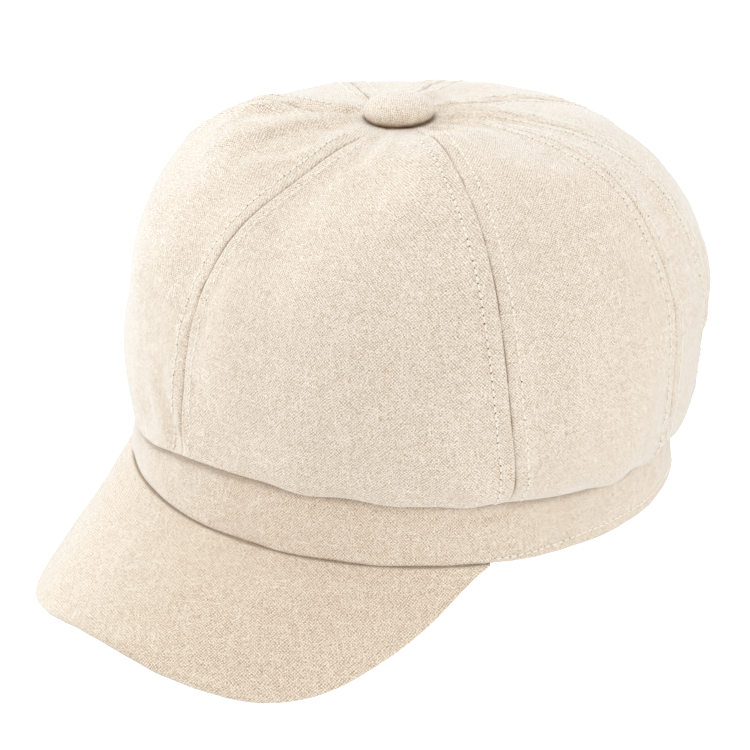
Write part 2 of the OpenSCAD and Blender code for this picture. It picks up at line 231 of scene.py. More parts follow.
def seat_lean(x, y):
    """Height, beside the button's middle, of the place on which the worn button leans."""
    side = x * cosd(CAM_AZIMUTH) + y * sind(CAM_AZIMUTH)
    front = x * sind(CAM_AZIMUTH) - y * cosd(CAM_AZIMUTH)
    return sind(BUTTON_LEAN) * side - sind(BUTTON_TIP) * front


def seat_rise(x, y):
    """0 on the button's seat, 1 where the crown's dome is free of it."""
    r = np.hypot(x - BUTTON_AT[0], y - BUTTON_AT[1])
    return ease((r - SEAT_FLAT) / (SEAT_RIM - SEAT_FLAT))


def crown_at(t, q):
    """Smooth crown at angle t (degrees) and course q, 0 at the band, 1 at the button."""
    t, q = np.broadcast_arrays(np.asarray(t, float), np.asarray(q, float))
    ct, st, bulge = cosd(t), sind(t), FRONT_BULGE * cosd(3 * t)
    low = q < LOW_SHARE
    f = np.where(low, q / LOW_SHARE, (q - LOW_SHARE) / (1 - LOW_SHARE))
    a, b = quarter(90 * (1 - f), FULL_LOW)
    top_x, top_y = BAND_X - BAND_LEAN, BAND_Y - BAND_LEAN
    plan = 1 + bulge * a
    under = np.stack([
        CROWN_SIDE * a + (top_x + (CROWN_X - top_x) * a) * plan * st,
        CROWN_BACK * a - (top_y + (CROWN_Y - top_y) * a) * plan * ct,
        CROWN_WIDE_Z - (CROWN_WIDE_Z - BAND_H) * b], -1)
    n = np.maximum(FULL + FULL_FRONT * ct + FULL_LENGTH * cosd(2 * t) + FULL_SIDE * st, FULL_LEAST)
    a, b = quarter(90 * f, n)
    x = CROWN_SIDE * a + BUTTON_AT[0] * (1 - a) + CROWN_X * (1 + bulge) * a * st
    y = CROWN_BACK * a + BUTTON_AT[1] * (1 - a) - CROWN_Y * (1 + bulge) * a * ct
    z = CROWN_WIDE_Z + (CROWN_TOP_Z - CROWN_WIDE_Z) * b
    z = z + CROWN_TILT * x * np.clip(2 * f, 0, 1)
    rise = seat_rise(x, y)
    over = np.stack([x, y, z * rise + BUTTON_SEAT * (1 - rise)], -1)
    return np.where(low[..., None], under, over)


def crown_normal(t, q):
    """Normal of the smooth crown; at the band's seam it faces down."""
    turn, step = 0.2, 0.002
    n = unit(np.cross(crown_at(t + turn, q) - crown_at(t - turn, q),
                      crown_at(t, np.minimum(q + step, 1)) - crown_at(t, np.maximum(q - step, 0))))
    return np.where((q < step)[..., None], np.array([0.0, 0.0, -1.0]), n)


def seam_course(a, q):
    """Angle of a seam at course q, from its angles at the band, halfway and at the button."""
    low = a[1] + (a[0] - a[1]) * (1 - np.minimum(q, MID_SHARE) / MID_SHARE) ** 2
    high = a[1] + (a[2] - a[1]) * ((np.maximum(q, MID_SHARE) - MID_SHARE) / (1 - MID_SHARE)) ** 2
    return np.where(q < MID_SHARE, low, high)


def seam_angle(j, q):
    return seam_course(SEAMS[j % PANELS], q) + (360 if j == PANELS else 0)


def panel_width(i, q):
    return np.linalg.norm(crown_at(seam_angle(i + 1, q), q) - crown_at(seam_angle(i, q), q),
                          axis=-1)


def seam_scale(width):
    """Scale of the seam work: 1, and less where a panel runs narrow under the button."""
    return np.minimum(1, width / FULL_ALLOWANCE)


def fit_seams():
    """Turns each seam in view, at its halfway angle, to run through its image point."""
    angles, shares = np.arange(-60, 181, 2.0), np.linspace(0.02, 0.98, 97)
    grid = crown_at(angles[None], shares[:, None]) * MM
    tree = grid_tree(grid)
    for j in range(SEAMS_IN_VIEW):
        place = place_on(tree, *POINTS[f"seam_{j + 1}"])
        gap = np.linalg.norm(grid - np.array(place), axis=-1)
        row, col = np.unravel_index(np.argmin(gap), gap.shape)
        miss = angles[col] - float(seam_angle(j, shares[row]))
        SEAMS[j][1] += np.clip(miss, -SEAM_TURN, SEAM_TURN)


fit_seams()


# -------- cloth relief
SEED, WAVES = 11, 22
rng = np.random.default_rng(SEED)


class Ripples:
    """Smooth noise of about unit height: a sum of plane waves with seeded directions."""

    def __init__(self, length, stretch=(1, 1, 1)):
        way = unit(rng.normal(size=(WAVES, 3)))
        scale = 2 * math.pi / (length * rng.uniform(0.7, 1.6, size=(WAVES, 1)))
        self.waves = way * scale / np.asarray(stretch, float)
        self.phase = rng.uniform(0, 2 * math.pi, size=WAVES)
        self.gain = 1 / math.sqrt(WAVES / 2)

    def __call__(self, p):
        return np.sin(p @ self.waves.T + self.phase).sum(-1) * self.gain


broad = Ripples(58)
medium = Ripples(24, stretch=(1, 1, 1.7))
fine = Ripples(9)
turns = rng.uniform(0, 2 * math.pi, size=12)  # phases for wander

# Broad folds, in part.scad too: angle, course, height, half widths in degrees and course
FOLDS = [
    (277, 0.66, -2.2, 13, 0.06),
    (296, 0.58, 1.6, 9, 0.06),
    (321, 0.19, 2.4, 16, 0.07),
    (152, 0.53, -1.2, 12, 0.05),
    (137, 0.36, 2.0, 16, 0.10),
    (168, 0.64, 1.0, 14, 0.05),
    (238, 0.71, -0.9, 14, 0.06),
]
# Creases and small ridges: angle and course of both ends, height, half width in mm
CREASES = [
    (49, 0.165, 61.5, 0.095, 1.3, 2.6),  # tuck left of seam 2, above the band
    (48, 0.125, 58, 0.075, -1.1, 2.8),
    (56, 0.26, 58.5, 0.17, -1.0, 4.5),
    (69, 0.17, 73, 0.24, -0.7, 4.0),
    (-24, 0.16, -11.5, 0.055, -0.8, 1.7),  # gathers left of seam 1, above the band
    (-19, 0.20, -9.0, 0.050, 1.0, 1.8),
    (-14.5, 0.17, -6.5, 0.06, -0.8, 1.5),
    (-12, 0.22, -4.5, 0.10, 0.7, 1.6),
    (-76, 0.92, -64, 0.60, 1.7, 2.0),  # folds that run left from the button
    (-62, 0.91, -50, 0.66, -1.6, 2.2),
    (-35, 0.90, -42, 0.62, 1.5, 1.9),
    (-10, 0.89, -27, 0.68, -1.4, 2.4),
    (22, 0.90, 14, 0.76, -1.3, 3.8),
    (66, 0.88, 52, 0.70, 0.9, 5.0),
    (-36, 0.62, -14, 0.53, -1.1, 8.0),  # hollow below them, left of seam 1
    (150, 0.93, 146, 0.78, 1.3, 2.4),  # ridge that runs right from the button
    (176, 0.93, 178, 0.80, -1.6, 4.2),
    (132, 0.43, 124, 0.26, -0.9, 2.2),  # folds near the right outline
    (126, 0.62, 121, 0.42, 0.8, 3.0),
    (118, 0.66, 109, 0.40, -0.7, 4.5),
]


def fold_lift(t, q):
    """Height of the broad folds."""
    out = 0
    for angle, share, high, wide, tall in FOLDS:
        out += high * bell(around(t - angle), wide) * bell(q - share, tall)
    return out


def crease_lift(base):
    """Height of the creases at places of the smooth crown."""
    out = 0
    for t0, q0, t1, q1, high, wide in CREASES:
        a, b = crown_at(t0, q0), crown_at(t1, q1)
        near = np.clip(((base - a) @ (b - a)) / ((b - a) @ (b - a)), 0, 1)
        gap = np.linalg.norm(base - a - near[..., None] * (b - a), axis=-1)
        # the segment is a chord of a domed surface, so its sag is taken off the gap
        sag = 0.12 * np.linalg.norm(b - a) * 4 * near * (1 - near)
        ends = 1 - 0.5 * (2 * near - 1) ** 2
        out += high * bell(np.maximum(gap - sag, 0), wide) * ends
    return out


def wander(t, low, high, k):
    """Wavy function of an angle that closes round the cap."""
    out = 0
    for i, n in enumerate(range(low, high)):
        out += np.sin(np.radians(n * t) + turns[(i + k) % len(turns)] * (i + 1))
    return out / math.sqrt((high - low) / 2)


# Heights of the crown's relief, in mm
BROAD, MEDIUM, FINE, SUNK = 0.65, 0.42, 0.07, 0.5  # soft unevenness, and how far it sinks
BAND_GATHERS, BUTTON_FOLDS, PUCKERS = 0.3, 0.5, 0.2
SEAM_DEEP, ALLOWANCE, ROW_DEEP = 0.32, 0.25, 0.16


def relief(t, q, v, width, base):
    """Height of the worn cloth over the smooth panel, along the normal."""
    gap = np.minimum(v, 1 - v) * width
    tight = seam_scale(width)
    x, y = base[..., 0], base[..., 1]
    r = np.hypot(x - BUTTON_AT[0], y - BUTTON_AT[1])
    lift = PUFF * width * np.clip(q / PUFF_START, 0, 1) ** 0.6 * (4 * v * (1 - v)) ** 1.3 \
        * np.where(q < 0.5, 1, seat_rise(x, y))
    on = ease(q / 0.05) * ease((r - 12) / 14)  # off at the band and under the button
    soft = BROAD * broad(base) + MEDIUM * medium(base) + FINE * fine(base) - SUNK
    away = 0.5 + 0.5 * ease(gap / 14)
    lift += on * (away * soft + fold_lift(t, q))
    lift += ease((q - 0.035) / 0.06) * crease_lift(base)
    # gathers that run up from the band
    lift += BAND_GATHERS * wander(t, 19, 31, 0) * bell(q - 0.06, 0.05) * ease(q / 0.03)
    # folds that run out from under the button
    lift += BUTTON_FOLDS * wander(t, 9, 19, 4) * ease((r - 11) / 8) * bell(r - 20, 14)
    # short puckers between the rows that hold a seam down
    lift += PUCKERS * fine(base) * bell(gap - 2.6, 2.8) * on
    # the seam's groove, its pressed allowances and the stitch rows
    lift -= SEAM_DEEP * bell(gap, 0.4 * tight) * on
    lift += ALLOWANCE * tight * on * ease(gap / (0.9 * tight)) \
        * (1 - ease((gap / tight - 4.6) / 1.2))
    lift -= ROW_DEEP * on * bell(gap / tight - np.where(v > 0.5, *STITCH_OFF), 0.5)
    # the cloth never dips behind the band's face at the lower edge
    return np.maximum(lift, -0.05 - 25 * np.maximum(q - 0.04, 0))


def hem_depth(q):
    """Thickness of the crown's cloth, pressed thin where it turns under to the band."""
    return HEM_CLOTH + (CLOTH - HEM_CLOTH) * ease((q - 0.02) / 0.05)


HANG = 1.0  # how far the crown's lower edge hangs over the band all round, in mm
HANG_MORE = [  # and how much more: height, angle and half width in degrees
    (7.5, -28, 22),
    (-0.45, 34, 22),
    (2.6, 92, 26),
]


def hang_of(t):
    """How far the crown's lower edge hangs down over the band, in mm."""
    return HANG + sum(more * bell(around(t) - angle, wide) for more, angle, wide in HANG_MORE)


def sag(t, q):
    """How far the crown's cloth hangs down at a place, in mm."""
    return hang_of(t) * ease(q / FOLD_SHARE) * (1 - ease((q - FOLD_SHARE) / 0.2))


def panel_surface(i, q, v):
    """Finished outside of panel i, with its relief, and the width of the panel there."""
    a, b = seam_angle(i, q), seam_angle(i + 1, q)
    width = panel_width(i, q)
    t = a + (b - a) * v
    base = crown_at(t, q)
    place = base + crown_normal(t, q) * relief(t, q, v, width, base)[..., None]
    hang, turn = sag(t, q), around(t)
    out = np.maximum(hang - HANG, 0) * SAG_OUT + np.minimum(hang, HANG) * bell(turn - 25, 40)
    # the hanging cloth lies in front of the ply that turns under
    hem = ease((q - 0.012) / 0.03) * (1 - ease((q - 0.07) / 0.2))
    out += FOLD_GAP * hem * bell(turn + 4, 34)
    x, y = base[..., 0], base[..., 1]
    lean = seat_lean(x - BUTTON_AT[0], y - BUTTON_AT[1]) \
        * (1 - seat_rise(x, y)) * (q > LOW_SHARE)
    return place + np.stack([out * sind(t), -out * cosd(t), lean - hang], -1), width


# -------- mesh tools
def new_object(name, points, faces, uvs=None, tone=None, wrap=0.0):
    """Mesh object from points in mm. uvs and tone have one entry a point. wrap is the
    length of cloth round a ring, so that its last quads don't run backwards."""
    mesh = bpy.data.meshes.new(name)
    mesh.from_pydata((np.asarray(points) * MM).tolist(), [], faces)
    if uvs is not None:
        layer = mesh.uv_layers.new(name="cloth")
        index = np.empty(len(mesh.loops), dtype=np.int64)
        mesh.loops.foreach_get("vertex_index", index)
        spread = np.asarray(uvs, float)[index]
        if wrap:
            u = spread[:, 0].reshape(-1, 4)
            turned = np.ptp(u, axis=1)[:, None] > wrap / 2
            u += np.where(turned & (u < u.mean(1)[:, None]), wrap, 0.0)
        layer.data.foreach_set("uv", (spread * MM).ravel())
        mesh.attributes.new("tone", "FLOAT", "POINT").data.foreach_set("value", tone)
    mesh.polygons.foreach_set("use_smooth", [True] * len(mesh.polygons))
    mesh.update()
    return new_thing(name, mesh)


def grid_normals(grid, ring=False):
    """Normals of a grid of points: first axis upward, second turning left to right."""
    if ring:
        across = np.roll(grid, -1, 1) - np.roll(grid, 1, 1)
    else:
        across = np.gradient(grid, axis=1)
    return unit(np.cross(across, np.gradient(grid, axis=0)))


def quilt(name, outer, inner, uv, tone=0.0, ring=False, wrap=0.0):
    """Closed sheet between two grids of points. A ring joins last column to first."""
    size = outer.shape[0] * outer.shape[1]
    at = np.arange(size).reshape(outer.shape[:2])
    if ring:
        at = np.concatenate([at, at[:, :1]], 1)
    a, b, c, d = at[:-1, :-1], at[:-1, 1:], at[1:, 1:], at[1:, :-1]
    sides = [(a, b, c, d), (a + size, d + size, c + size, b + size)]
    edges = [at[0, ::-1], at[-1]] + ([] if ring else [at[:, 0], at[::-1, -1]])
    sides += [(e[:-1], e[1:], e[1:] + size, e[:-1] + size) for e in edges]
    faces = np.concatenate([np.stack(side, -1).reshape(-1, 4) for side in sides])
    points = np.concatenate([outer.reshape(-1, 3), inner.reshape(-1, 3)])
    uvs = np.concatenate([uv.reshape(-1, 2)] * 2)
    tone = np.clip(np.broadcast_to(tone, outer.shape[:2]), 0, 1)
    return new_object(name, points, faces.tolist(), uvs, np.tile(tone.ravel(), 2), wrap)


def area_of(grid):
    """Area of a grid of points, in square millimetres."""
    a, b = grid[1:, 1:] - grid[:-1, :-1], grid[1:, :-1] - grid[:-1, 1:]
    return float(np.linalg.norm(np.cross(a, b), axis=-1).sum() / 2)


def thread(name, rows, r=STITCH_R):
    """Sewing thread that shows as stitches, and the needle holes between them. Each row
    is (points, normals), closely spaced. Holes take the second material, a dark brown
    that is painted shade in them."""
    sides = 6
    turn = np.linspace(0, 2 * math.pi, sides, endpoint=False)[:, None]
    # along a stitch: share of its length, its girth and its height over the cloth
    share = np.array([0.0, 0.14, 0.5, 0.86, 1.0])
    girth = np.array([0.45, 0.95, 1.0, 0.95, 0.45])[:, None] * r
    height = np.array([-0.35, 0.35, 0.55, 0.35, -0.35])[:, None] * r
    # of a hole: depth and width at its bottom and rim
    depth, wide = np.array([[-0.4], [0.1]]) * HOLE_R, np.array([[0.5], [1.0]]) * HOLE_R
    points, faces, kinds = [], [], []

    def shell(centres, across, over, kind):
        """Closed tube through rings round these centres."""
        base, before = len(points), len(faces)
        for c, a, b in zip(centres, across, over):
            points.extend(c + np.cos(turn) * a + np.sin(turn) * b)
        for low in range(base, len(points) - sides, sides):
            for m, n in zip(range(sides), (*range(1, sides), 0)):
                faces.append((low + m, low + n, low + sides + n, low + sides + m))
        faces.append(tuple(reversed(range(base, base + sides))))
        faces.append(tuple(range(len(points) - sides, len(points))))
        kinds.extend([kind] * (len(faces) - before))

    for line, normal in rows:
        run = lengths(line)
        count = int((run[-1] - 1.0) / STITCH_PITCH)
        start = (run[-1] - count * STITCH_PITCH) / 2

        def at(s):
            mid, out = (np.stack([np.interp(s, run, grid[:, i]) for i in range(3)], 1)
                        for grid in (line, normal))
            return mid, unit(out)

        for k in range(count):
            first = start + k * STITCH_PITCH + (STITCH_PITCH - STITCH_LENGTH) / 2
            mid, out = at(first + STITCH_LENGTH * share)
            side = unit(np.cross(out, unit(mid[-1] - mid[0])))
            shell(mid + out * height, 1.2 * girth * side, girth * out, 0)
        mid, out = at(start + STITCH_PITCH * np.arange(count + 1))
        side = unit(np.cross(out, np.gradient(mid, axis=0)))
        ahead = np.cross(side, out)
        for k in range(count + 1):
            shell(mid[k] + out[k] * depth, wide * side[k], wide * ahead[k], 1)
    piece = new_object(name, points, faces)
    piece.data.polygons.foreach_set("material_index", kinds)
    return piece


# -------- materials
YARN = 0.515  # pitch of the linen's yarns, in mm; the weave repeats every two
FIBRES = 2  # specks of tone across one yarn
WEAVE = 0.29  # how much paler the warp is than the weft
CROSSING_SHADE = 0.25  # painted light and shade of a yarn crossing: how much paler a yarn is on top than at its sides
SPECK = 0.76  # how much the tone of one yarn crossing varies
STREAK, SLUB, CLOUD = 0.26, 0.4, 0.08  # thick and thin yarns, slubs, drift over the cloth
TONE = 0.63  # where between dark and pale the cloth lies
DRIFT = 1.3  # how far the yarns wander, in mm
SHADE_TINT = (0.42, 0.34, 0.25)  # colour of the painted shade in seams, folds and under edges, as a share of the cloth's dark tone


def linear(r, g, b):
    """Linear colour from one read off the photograph in sRGB."""
    return tuple(((c / 255 + 0.055) / 1.055) ** 2.4 for c in (r, g, b)) + (1,)


class Nodes:
    """Short way to write a material's nodes."""

    def __init__(self, name):
        self.material = bpy.data.materials.new(name)
        self.material.use_nodes = True
        self.tree = self.material.node_tree
        self.shader = self.tree.nodes["Principled BSDF"]

    def add(self, kind, inputs={}, **settings):
        node = self.tree.nodes.new("ShaderNode" + kind)
        for key, value in settings.items():
            setattr(node, key, value)
        for key, value in inputs.items():
            self.set(node, key, value)
        return node

    def set(self, node, key, value):
        if isinstance(value, bpy.types.NodeSocket):
            self.tree.links.new(value, node.inputs[key])
        else:
            node.inputs[key].default_value = value

    def look(self, **inputs):
        """Sets the shader's own sockets; an underscore stands for a space."""
        for key, value in inputs.items():
            self.set(self.shader, key.replace("_", " "), value)

    def math(self, operation, a, b=0.0):
        return self.add("Math", {0: a, 1: b}, operation=operation).outputs[0]

    def sum(self, *values):
        return reduce(lambda a, b: self.math("ADD", a, b), values)

    def vector(self, operation, a, b=None):
        inputs = {0: a} if b is None else {0: a, "Scale" if operation == "SCALE" else 1: b}
        return self.add("VectorMath", inputs, operation=operation).outputs[0]

    def about(self, value, middle, gain):
        """A value's distance from its middle, times a gain."""
        return self.math("MULTIPLY", self.math("SUBTRACT", value, middle), gain)

    def arch(self, value):
        return self.math("SINE", self.math("MULTIPLY", value, math.pi))

    def cloth(self, turn):
        """The cloth's own coordinates, in millimetres."""
        uv = self.add("UVMap", uv_map="cloth").outputs["UV"]
        return self.add("Mapping", {"Vector": uv, "Scale": (1000, 1000, 1000),
                                    "Rotation": (0, 0, turn)}).outputs["Vector"]

    def noise(self, vector, scale, detail=2.0):
        return self.add("TexNoise", {"Vector": vector, "Scale": scale,
                                     "Detail": detail, "Roughness": 0.5}).outputs["Fac"]

    def yarns(self, vector, x, y):
        """Noise drawn out along one yarn direction."""
        drawn = self.add("Mapping", {"Vector": vector, "Scale": (x, y, 1)}).outputs["Vector"]
        return self.noise(drawn, 1.0, 1.0)

    def random(self, vector):
        return self.add("TexWhiteNoise", {"Vector": vector},
                        noise_dimensions="2D").outputs["Value"]

    def ramp(self, value, low, high, out_low=0.0, out_high=1.0):
        return self.add("MapRange", {"Value": value, "From Min": low, "From Max": high,
                                     "To Min": out_low, "To Max": out_high}).outputs["Result"]

    def mix(self, share, a, b):
        return self.add("Mix", {0: share, 6: a, 7: b}, data_type="RGBA").outputs[2]

    def bump(self, height, strength, distance):
        return self.add("Bump", {"Height": height, "Strength": strength,
                                 "Distance": distance}).outputs[0]


def linen(name, pale, dark, yarn=YARN, turn=0.0, bump=0.4):
    """Plain-woven linen: every crossing of warp and weft has its own tone, yarns run
    thick and thin, and slubs stand out. The "tone" attribute is painted shade: it
    darkens what lies deep in a seam, under an overhanging edge or at a joint."""
    n = Nodes(name)
    mm = n.cloth(turn)
    bent = n.add("TexNoise", {"Vector": mm, "Scale": 0.4, "Detail": 2.0}).outputs["Color"]
    drift = n.vector("SCALE", n.vector("SUBTRACT", bent, (0.5, 0.5, 0.5)), DRIFT)
    place = n.vector("SCALE", n.vector("ADD", mm, drift), 1 / yarn)
    cell = n.vector("FLOOR", place)
    u, v, _ = n.add("SeparateXYZ", {0: n.vector("FRACTION", place)}).outputs
    warp, weft, _ = n.add("SeparateXYZ", {0: cell}).outputs
    over = n.math("FLOORED_MODULO", n.math("ADD", warp, weft), 2.0)
    under = n.math("SUBTRACT", 1.0, over)
    arch_u, arch_v = n.arch(u), n.arch(v)
    # painted light and shade: each crossing paler at its top, darker at its sides and in the gaps
    # at its corners
    crossing_shade = n.math("MULTIPLY", arch_u, arch_v)
    height = n.sum(*(n.math("MULTIPLY", n.math("MULTIPLY", a, n.ramp(b, 0, 1, 0.5, 1)), on)
                     for a, b, on in ((arch_u, arch_v, over), (arch_v, arch_u, under))))
    speck = n.random(n.vector("FLOOR", n.vector("SCALE", place, FIBRES)))
    streak_x, streak_y = n.yarns(mm, 1.6, 0.05), n.yarns(mm, 0.05, 1.6)
    slub = n.math("MAXIMUM", n.ramp(n.yarns(mm, 1.7, 0.10), 0.66, 0.72),
                  n.ramp(n.yarns(mm, 0.10, 1.7), 0.66, 0.72))
    weave = n.math("MULTIPLY", n.about(over, 0.5, 2 * WEAVE),
                   n.ramp(n.random(cell), 0, 1, 0.5, 1.5))
    tone = n.sum(n.about(speck, 0.5, SPECK), n.about(crossing_shade, 0.405, CROSSING_SHADE), weave,
                 n.about(streak_x, 0.5, STREAK), n.about(streak_y, 0.5, STREAK),
                 n.about(n.noise(mm, 0.05), 0.5, CLOUD), n.about(slub, 0.0, SLUB), TONE)
    colour = n.mix(n.add("Clamp", {"Value": tone}).outputs[0], dark, pale)
    # painted shade: where the "tone" attribute is high the cloth turns dark brown and loses its
    # sheen
    painted_shade = n.add("Attribute", attribute_name="tone").outputs["Fac"]
    deep = tuple(c * k for c, k in zip(dark[:3], SHADE_TINT)) + (1,)
    rise = n.sum(height, n.about(speck, 0.5, 0.5), slub, n.about(streak_x, 0.5, 1.2))
    n.look(Base_Color=n.mix(painted_shade, colour, deep), Normal=n.bump(rise, bump, 0.00007),
           Roughness=n.ramp(speck, 0, 1, 0.82, 0.96), Specular_IOR_Level=0.2,
           Sheen_Weight=n.ramp(painted_shade, 0, 0.5, 1.0, 0), Sheen_Roughness=0.4)
    return n.material


def twill(name, pale, dark):
    """Cotton twill: fine diagonal ribs."""
    n = Nodes(name)
    mm = n.cloth(0.95)
    across = n.add("SeparateXYZ", {0: mm}).outputs[0]
    rib = n.math("SINE", n.math("MULTIPLY", across, 2 * math.pi / 0.8))
    grain = n.noise(mm, 1.6, 3.0)
    # painted light and shade: the ribs' crests paler and their grooves darker, added to the
    # cloth's own grain
    share = n.ramp(n.math("ADD", n.math("MULTIPLY", rib, 0.22), grain), 0.2, 0.9)
    n.look(Base_Color=n.mix(share, dark, pale), Normal=n.bump(rib, 0.3, 0.00012),
           Roughness=n.ramp(grain, 0.2, 0.8, 0.78, 0.92), Sheen_Weight=0.15)
    return n.material


def mottled(name, pale, dark, scale, rough=(0.5, 0.7), metal=0.0, sheen=0.0, detail=4.0):
    """Thread, stiff parts and button metal: small changes of tone and gloss."""
    n = Nodes(name)
    where = n.add("TexCoord").outputs["Object"]
    patch = n.noise(where, scale, detail)
    n.look(Base_Color=n.mix(n.ramp(patch, 0.3, 0.7), dark, pale),
           Roughness=n.ramp(patch, 0.3, 0.7, *rough), Metallic=metal, Sheen_Weight=sheen)
    return n.material


def spun(name, pale, dark):
    return mottled(name, pale, dark, 2600.0, (0.6, 0.8), sheen=0.3, detail=2.0)


linen_crown = linen("linen_crown", linear(254, 244, 231), linear(191, 165, 134))
linen_band = linen("linen_band", linear(252, 240, 225), linear(185, 157, 125))
linen_visor = linen("linen_visor", linear(252, 240, 224), linear(186, 157, 124), turn=0.57)
cotton_tape = linen("cotton_tape", linear(238, 230, 216), linear(206, 194, 176), 0.3, bump=0.2)
sweat_twill = twill("sweat_twill", linear(236, 226, 208), linear(208, 194, 172))
sewing_thread = spun("sewing_thread", linear(255, 251, 241), linear(246, 238, 222))
# painted shade in the needle holes: a dark brown on small shells sunk between the stitches
needle_hole_shade = spun("needle_hole_shade", linear(120, 96, 72), linear(82, 62, 44))
stitched = (sewing_thread, needle_hole_shade)
board_card = mottled("board_card", linear(236, 234, 226), linear(222, 219, 210), 90.0)
stiffener = mottled("stiffener", linear(238, 236, 230), linear(220, 217, 208), 700.0)
button_steel = mottled("button_steel", linear(190, 190, 190), linear(160, 160, 162), 90.0,
                       (0.25, 0.45), metal=1.0)

pieces = {}


def keep(thing, materials, slot, *nodes):
    """Gives a finished piece its materials and body, hides the CAD nodes it stands for
    and keeps it among the pieces. slot is not used.
    """
    for material in materials:
        thing.data.materials.append(material)
    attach(thing, "root")
    if nodes:
        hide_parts(*nodes)
    pieces[thing.name] = thing
    return thing


# -------- crown panels
# columns beside a seam, in mm from it, and how many lie between
NEAR_SEAM = np.array([0, 0.22, 0.5, 1.0, 1.8, 2.8, 3.8, 4.5, 5.0, 5.5, 6.3, 7.6])
PANEL_MID = [34, 24, 18, 24, 24, 18, 24, 34]
ROWS = np.concatenate([
    np.array([0, 2, 4, 6, 8, 11, *range(15, 88, 6)]) / 90 * LOW_SHARE,
    LOW_SHARE + (1 - LOW_SHARE) * np.concatenate([np.linspace(0, 72, 49),
                                                  np.linspace(73, 87, 18)]) / 90])
SEAM_TONE, UNDER_TONE, BUTTON_TONE = 0.62, 0.3, 0.95  # shade in the seams, at both ends
UV_APART = 37  # mm between the cloth coordinates of neighbouring panels


def panel_columns(i):
    """Share across panel i of every column, row by row."""
    width = panel_width(i, ROWS)
    near = NEAR_SEAM[None] * (seam_scale(width) / width)[:, None]
    mid = np.linspace(0, 1, PANEL_MID[i] + 2)[None, 1:-1]
    edge = near[:, -1:]
    return np.concatenate([near, edge + (1 - 2 * edge) * mid, 1 - near[:, ::-1]], 1)


panel_outer, panel_normal = [], []
for i in range(PANELS):
    share = panel_columns(i)
    cols = share.shape[1]
    q = np.repeat(ROWS[:, None], cols, 1)
    outer, width = panel_surface(i, q, share)
    normal = grid_normals(outer)
    normal[0] = (0, 0, -1)
    inner = outer - normal * hem_depth(q)[..., None]
    up = lengths(outer[:, cols // 2])
    uv = np.stack([(share - 0.5) * width + UV_APART * i, np.repeat(up[:, None], cols, 1)], -1)
    # painted shade in the seams, paler up the crown, painted shade at the crown's lower edge, and
    # a painted shadow in a ring round the button's foot
    uneven = 0.6 + 0.6 * np.clip(fine(outer) + 0.6 * medium(outer), -1, 1)
    paler = 1 - 0.45 * ease((q - 0.45) / 0.3) - 0.45 * ease((q - 0.84) / 0.06)
    tone = SEAM_TONE * uneven * paler * bell(np.minimum(share, 1 - share) * width, 0.2)
    tone = np.maximum(tone, UNDER_TONE * bell(q, 0.004))
    from_button = np.hypot(outer[..., 0] - BUTTON_AT[0], outer[..., 1] - BUTTON_AT[1])
    tone = np.maximum(tone, BUTTON_TONE * bell(from_button - BUTTON_D / 2 + 0.6, 0.7))
    piece = quilt(f"panel_{i + 1}", outer, inner, uv, tone)
    keep(piece, [linen_crown], "linen", f"crown_panel_{i + 1}")
    wide, tall = float(width.max()), float(up[-1])
    flat = crown_at(seam_angle(i, q) * (1 - share) + seam_angle(i + 1, q) * share, q)
    min(area_of(flat), 0.99 * wide * tall) * MM ** 2
    panel_outer.append(outer)
    panel_normal.append(normal)


# -------- seam tapes and rows
ROW_ENDS = 0.035, 0.865  # courses at which the stitch rows start and end
TAPE_ROWS = slice(8, -5)  # rows of the panels that a tape covers
TAPE_COLS = 9  # and columns of each
INNER_START = 12  # first place of the rows that shows inside, over the tape


def stitch_column(i, offset, far):
    """A line along panel i at a distance from one of its seams, and its normals."""
    q = np.linspace(*ROW_ENDS, 220)
    width = panel_width(i, q)
    share = offset * seam_scale(width) / width
    share = 1 - share if far else share
    line, _ = panel_surface(i, q, share)
    a, b = seam_angle(i, q), seam_angle(i + 1, q)
    return line, crown_normal(a + (b - a) * share, q)


for j in range(PANELS):
    before = (j - 1) % PANELS
    face, out = (np.concatenate([g[before][:, -TAPE_COLS:], g[j][:, 1:TAPE_COLS]], 1)[TAPE_ROWS]
                 for g in (panel_outer, panel_normal))
    across = np.linspace(-TAPE_HALF, TAPE_HALF, face.shape[1])
    up = lengths(face[:, face.shape[1] // 2])
    uv = np.stack(np.broadcast_arrays(across[None], up[:, None]), -1)
    piece = quilt(f"tape_{j + 1}", face - out * (CLOTH + STICK), face - out * (CLOTH + TAPE), uv)
    keep(piece, [cotton_tape], "seam_tape", f"seam_tape_{j + 1}")
    rows = [stitch_column(before, STITCH_OFF[0], True), stitch_column(j, STITCH_OFF[1], False)]
    rows += [((line - out * (CLOTH + TAPE))[INNER_START:], -out[INNER_START:])
             for line, out in rows]
    keep(thread(f"seam_thread_{j + 1}", rows), stitched, "thread")


# -------- head band
def band_at(t, z, inset=0.0):
    """Place on the smooth band at angle t and height z, set in from its outside."""
    lean = BAND_LEAN * np.clip(z, None, BAND_H) / BAND_H + inset
    return np.stack([(BAND_X - lean) * sind(t), -(BAND_Y - lean) * cosd(t),
                     np.broadcast_to(z, np.shape(t + z + inset))], -1)


BAND_T = np.linspace(180, 540, 540, endpoint=False)  # joined at the centre back
CLOTH_ROUND = 2 * math.pi * BAND_Y
HEM_FROM, HEM_OVER = 66, 26  # angles over which the hem's row rises
PUCKER = (0.9, 10.0, 1.6, 0.05)  # depth, half length, half height in mm, and slant
DENT = (1.0, 13.0, 2.2, -0.03)
BAND_TONE, VISOR_TONE = 0.42, 0.4  # shade under the crown's edge, and at the visor


def angle_of(place):
    """Angle round the band of a place in metres."""
    return math.degrees(math.atan2(place[0] / BAND_X, -place[1] / BAND_Y))


